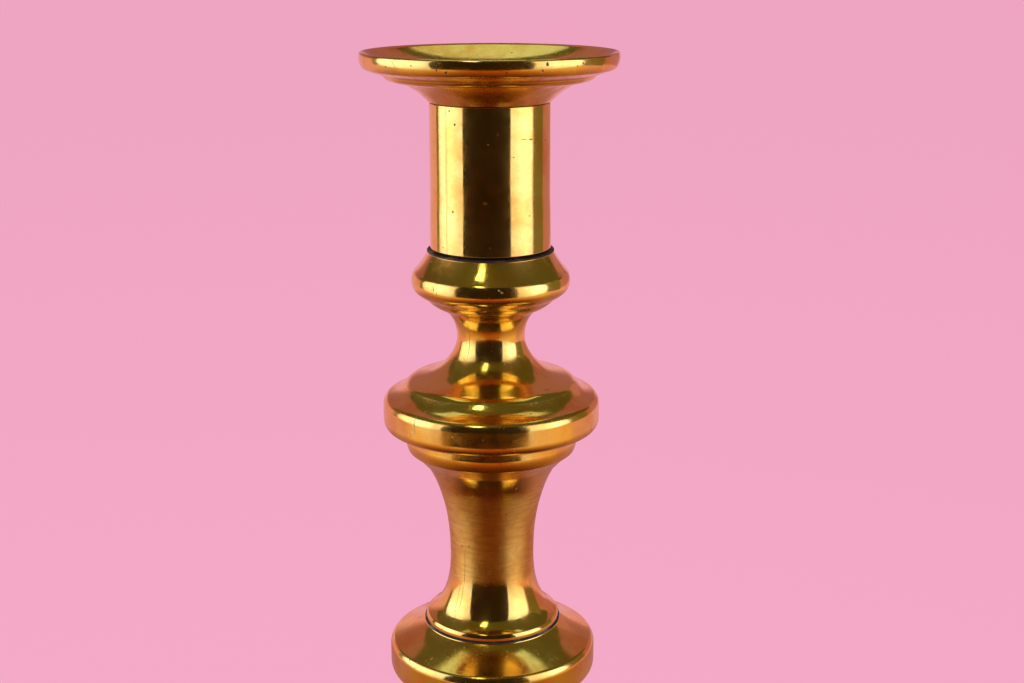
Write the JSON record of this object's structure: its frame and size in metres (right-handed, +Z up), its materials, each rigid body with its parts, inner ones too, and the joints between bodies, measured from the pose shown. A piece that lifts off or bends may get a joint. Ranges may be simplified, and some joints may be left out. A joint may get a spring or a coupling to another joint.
{
  "type": "altar candlestick",
  "caption": "Tall turned brass candlestick with a wide loose drip pan, straight socket, knopped stem and round domed base, held on a tie rod.",
  "frame": {"origin": "centre of the bottom of the bounding box: on the axis, at the underside of the foot", "axes": "+Z up along the axis of the stem, -Y towards the viewer of the picture, +X to the viewer's right"},
  "size_m": [0.124, 0.124, 0.28],
  "materials": {
    "polished_brass": "old polished brass with fine turning lines, pits and dark residue in the joints",
    "nut_brass": "dull unpolished turned brass",
    "dark_steel": "dull darkened steel"
  },
  "bodies": {
    "candlestick": {"base": "polished_brass", "base_collar": "polished_brass", "lower_stem": "polished_brass", "lower_knop": "polished_brass", "neck": "polished_brass", "wide_knop": "polished_brass", "upper_stem": "polished_brass", "socket_barrel": "polished_brass", "rod_top_nut": "nut_brass", "tie_rod": "dark_steel", "base_washer": "dark_steel", "base_nut": "dark_steel"},
    "drip_pan": {"drip_pan": "polished_brass"}
  },
  "joints": [
    {"name": "drip_pan_lift", "type": "slide", "parent": "candlestick", "child": "drip_pan", "axis": [0, 0, 1], "range_m": [0, 0.03]}
  ]
}
